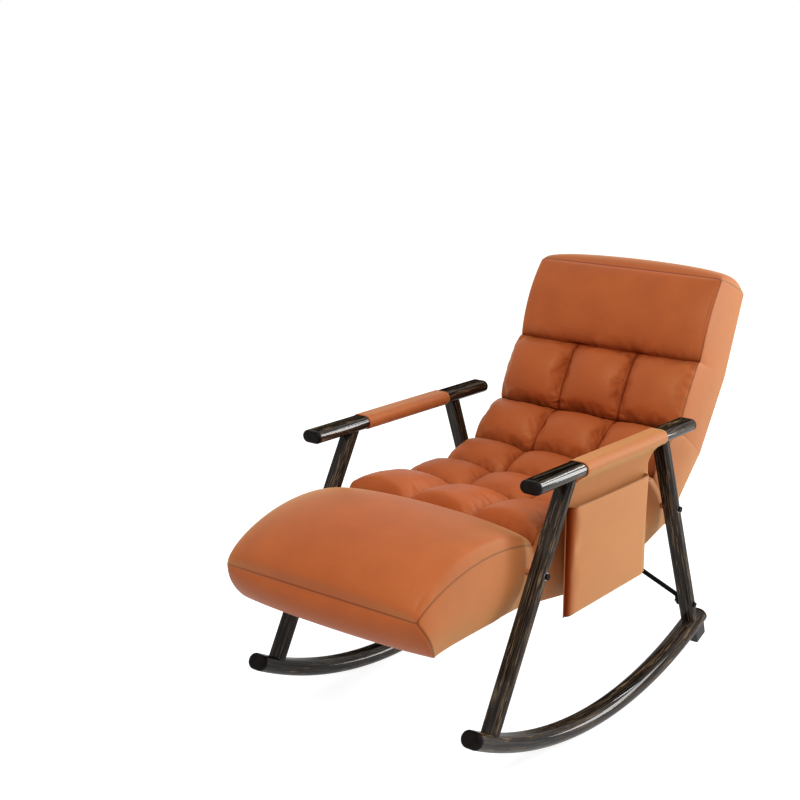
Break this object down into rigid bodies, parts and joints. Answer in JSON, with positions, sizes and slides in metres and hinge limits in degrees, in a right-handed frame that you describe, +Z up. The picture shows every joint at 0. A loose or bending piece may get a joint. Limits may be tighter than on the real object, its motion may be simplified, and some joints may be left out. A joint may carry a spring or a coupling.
{
  "type": "folding rocking lounge chair",
  "caption": "Rocking lounge chair with a tufted orange cushion, a back and a leg rest hinged on the legs, curved oval-tube rockers, flat armrests and a side pocket.",
  "frame": {"origin": "on the floor under the middle of the chair's bounding box", "axes": "+X to the sitter's left, where the pocket hangs; -Y to the front; +Z up"},
  "size_m": [0.6238, 1.2211, 0.9063],
  "materials": {
    "cushion": "matte",
    "leatherette": "matte",
    "frame_print": "satin",
    "plug_plastic": "satin",
    "stop_rubber": "matte",
    "webbing": "matte",
    "cover_cloth": "matte",
    "zinc_steel": "satin",
    "black_steel": "satin"
  },
  "bodies": {
    "frame": {"armrest_left": "frame_print", "armrest_right": "frame_print", "armrest_caps": "plug_plastic", "front_leg_left": "frame_print", "front_leg_right": "frame_print", "rear_leg_left": "frame_print", "rear_leg_right": "frame_print", "rocker_left": "frame_print", "rocker_right": "frame_print", "rocker_caps": "plug_plastic", "rear_stops": "stop_rubber", "sleeve_left": "leatherette", "sleeve_right": "leatherette", "pocket_flap": "leatherette", "pocket_pouch": "leatherette", "seat_rail_left": "black_steel", "seat_rail_right": "black_steel", "seat_front_tube": "black_steel", "seat_rear_tube": "black_steel", "back_hinge_cheeks": "black_steel", "legrest_hinge_cheeks": "black_steel", "hinge_rivets": "zinc_steel", "back_leaf_springs": "zinc_steel", "legrest_leaf_springs": "zinc_steel", "hinge_bolts": "black_steel", "hinge_washers": "zinc_steel", "hinge_nuts": "zinc_steel", "hinge_spacers": "black_steel", "brace_rod_left": "black_steel", "brace_rod_right": "black_steel", "brace_bracket": "black_steel", "brace_bolts": "black_steel", "brace_nuts": "zinc_steel", "seat_webbing": "webbing", "seat_bottom_cover": "cover_cloth", "seat_pad": "cushion", "front_seat_pad": "cushion"},
    "backrest": {"back_rail_left": "black_steel", "back_rail_right": "black_steel", "back_top_tube": "black_steel", "back_mid_tube": "black_steel", "back_hinge_discs": "black_steel", "back_webbing": "webbing", "back_cover": "cover_cloth", "lumbar_pad": "cushion", "back_pad": "cushion", "headrest_pad": "cushion"},
    "legrest": {"legrest_rail_left": "black_steel", "legrest_rail_right": "black_steel", "legrest_front_tube": "black_steel", "legrest_hinge_discs": "black_steel", "legrest_webbing": "webbing", "legrest_bottom_cover": "cover_cloth", "legrest_pad": "cushion"}
  },
  "joints": [
    {"name": "back_recline", "type": "hinge", "parent": "frame", "child": "backrest", "pos_m": [0, 0.25348, 0.409], "axis": [1, 0, 0], "range_deg": [-30, 60], "deforming": ["lumbar_pad", "back_leaf_springs"]},
    {"name": "legrest_tilt", "type": "hinge", "parent": "frame", "child": "legrest", "pos_m": [0, -0.26871, 0.404], "axis": [1, 0, 0], "range_deg": [-12, 70], "deforming": ["front_seat_pad", "legrest_leaf_springs"]}
  ]
}
